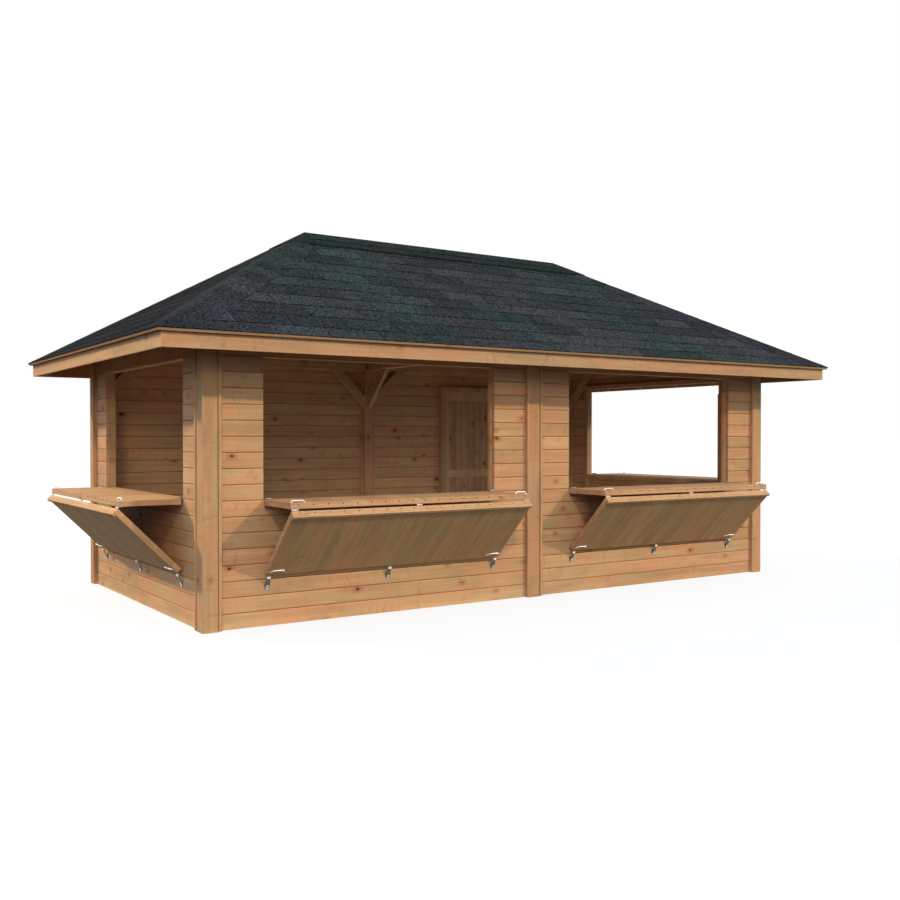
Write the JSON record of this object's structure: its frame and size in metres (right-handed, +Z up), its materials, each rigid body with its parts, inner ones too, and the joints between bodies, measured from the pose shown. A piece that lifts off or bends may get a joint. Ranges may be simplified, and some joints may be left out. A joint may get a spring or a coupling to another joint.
{
  "type": "wooden market stall",
  "caption": "Hip-roofed timber market stall with fold-down serving counters on the front and both ends, a rear door and a shingled roof.",
  "frame": {"origin": "centre of the whole object's plan outline, at ground level under the post feet", "axes": "+X along the long front towards its right end, +Y from the serving front to the rear wall, +Z up"},
  "size_m": [6.9966, 4.0252, 3.2772],
  "materials": {
    "frame_timber": "planed softwood posts and studs with a warm brown stain",
    "wall_boards": "level planed boards with a warm brown stain",
    "battens": "narrow planed battens, a little lighter than the boards",
    "door_timber": "planed door frame and leaf with a warm brown stain",
    "hatch_timber": "planed counter and flap planks with a warm brown stain",
    "galvanised_steel": "plain galvanised hinges, handles and catches",
    "roof_timber": "sawn rafters with a warm brown stain",
    "roof_deck": "deck boards, seen from below and at the roof's edge",
    "fascia_boards": "planed fascia boards with a warm brown stain",
    "roof_shingles": "dark grey mineral-faced bitumen shingles"
  },
  "bodies": {
    "stall": {"posts_front": "frame_timber", "posts_back": "frame_timber", "beam_front": "frame_timber", "beam_back": "frame_timber", "beams_ends": "frame_timber", "beam_middle": "frame_timber", "braces": "frame_timber", "sill_walls_front": "wall_boards", "sill_walls_ends": "wall_boards", "side_boards_front": "wall_boards", "side_boards_ends": "wall_boards", "lintels_front": "wall_boards", "lintels_ends": "wall_boards", "back_wall_plain": "wall_boards", "back_wall_beside_door": "wall_boards", "back_wall_over_door": "wall_boards", "battens_front": "battens", "battens_ends": "battens", "battens_back": "battens", "opening_jambs_front": "frame_timber", "opening_jambs_ends": "frame_timber", "opening_rails": "frame_timber", "hatch_brackets": "galvanised_steel", "hatch_catches": "galvanised_steel", "door_frame": "door_timber", "door_pintles": "galvanised_steel", "rafters_front": "roof_timber", "rafters_back": "roof_timber", "rafters_ends": "roof_timber", "hip_rafters": "roof_timber", "ridge_beam": "roof_timber", "fascia_long": "fascia_boards", "fascia_ends": "fascia_boards", "deck_long_slopes": "roof_deck", "deck_hip_ends": "roof_deck", "cover_long_slopes": "roof_shingles", "cover_hip_ends": "roof_shingles", "ridge_cap": "roof_shingles"},
    "door": {"door_leaf": "door_timber", "door_straps": "galvanised_steel", "door_handle": "galvanised_steel"},
    "counter_front_left": {"counter_front_left": "hatch_timber", "counter_fittings_front_left": "galvanised_steel"},
    "flap_front_left": {"flap_front_left": "hatch_timber", "flap_fittings_front_left": "galvanised_steel"},
    "counter_front_right": {"counter_front_right": "hatch_timber", "counter_fittings_front_right": "galvanised_steel"},
    "flap_front_right": {"flap_front_right": "hatch_timber", "flap_fittings_front_right": "galvanised_steel"},
    "counter_left_end": {"counter_left_end": "hatch_timber", "counter_fittings_left_end": "galvanised_steel"},
    "flap_left_end": {"flap_left_end": "hatch_timber", "flap_fittings_left_end": "galvanised_steel"},
    "counter_right_end": {"counter_right_end": "hatch_timber", "counter_fittings_right_end": "galvanised_steel"},
    "flap_right_end": {"flap_right_end": "hatch_timber", "flap_fittings_right_end": "galvanised_steel"}
  },
  "joints": [
    {"name": "counter_front_left_hinge", "type": "hinge", "parent": "stall", "child": "counter_front_left", "pos_m": [-1.47, -1.50836, 0.947], "axis": [-1, 0, 0], "range_deg": [0, 90]},
    {"name": "flap_front_left_hinge", "type": "hinge", "parent": "counter_front_left", "child": "flap_front_left", "pos_m": [-1.47, -1.96986, 0.889], "axis": [-1, 0, 0], "range_deg": [0, 135]},
    {"name": "counter_front_right_hinge", "type": "hinge", "parent": "stall", "child": "counter_front_right", "pos_m": [1.47, -1.50836, 0.947], "axis": [-1, 0, 0], "range_deg": [0, 90]},
    {"name": "flap_front_right_hinge", "type": "hinge", "parent": "counter_front_right", "child": "flap_front_right", "pos_m": [1.47, -1.96986, 0.889], "axis": [-1, 0, 0], "range_deg": [0, 135]},
    {"name": "counter_left_end_hinge", "type": "hinge", "parent": "stall", "child": "counter_left_end", "pos_m": [-2.994, 0.01564, 0.947], "axis": [0, 1, 0], "range_deg": [0, 90]},
    {"name": "flap_left_end_hinge", "type": "hinge", "parent": "counter_left_end", "child": "flap_left_end", "pos_m": [-3.4555, 0.01564, 0.889], "axis": [0, 1, 0], "range_deg": [0, 135]},
    {"name": "counter_right_end_hinge", "type": "hinge", "parent": "stall", "child": "counter_right_end", "pos_m": [2.994, 0.01564, 0.947], "axis": [0, -1, 0], "range_deg": [0, 90]},
    {"name": "flap_right_end_hinge", "type": "hinge", "parent": "counter_right_end", "child": "flap_right_end", "pos_m": [3.4555, 0.01564, 0.889], "axis": [0, -1, 0], "range_deg": [0, 135]},
    {"name": "door_hinge", "type": "hinge", "parent": "stall", "child": "door", "pos_m": [1.0135, 1.52864, 1], "axis": [0, 0, 1], "range_deg": [0, 110]}
  ]
}
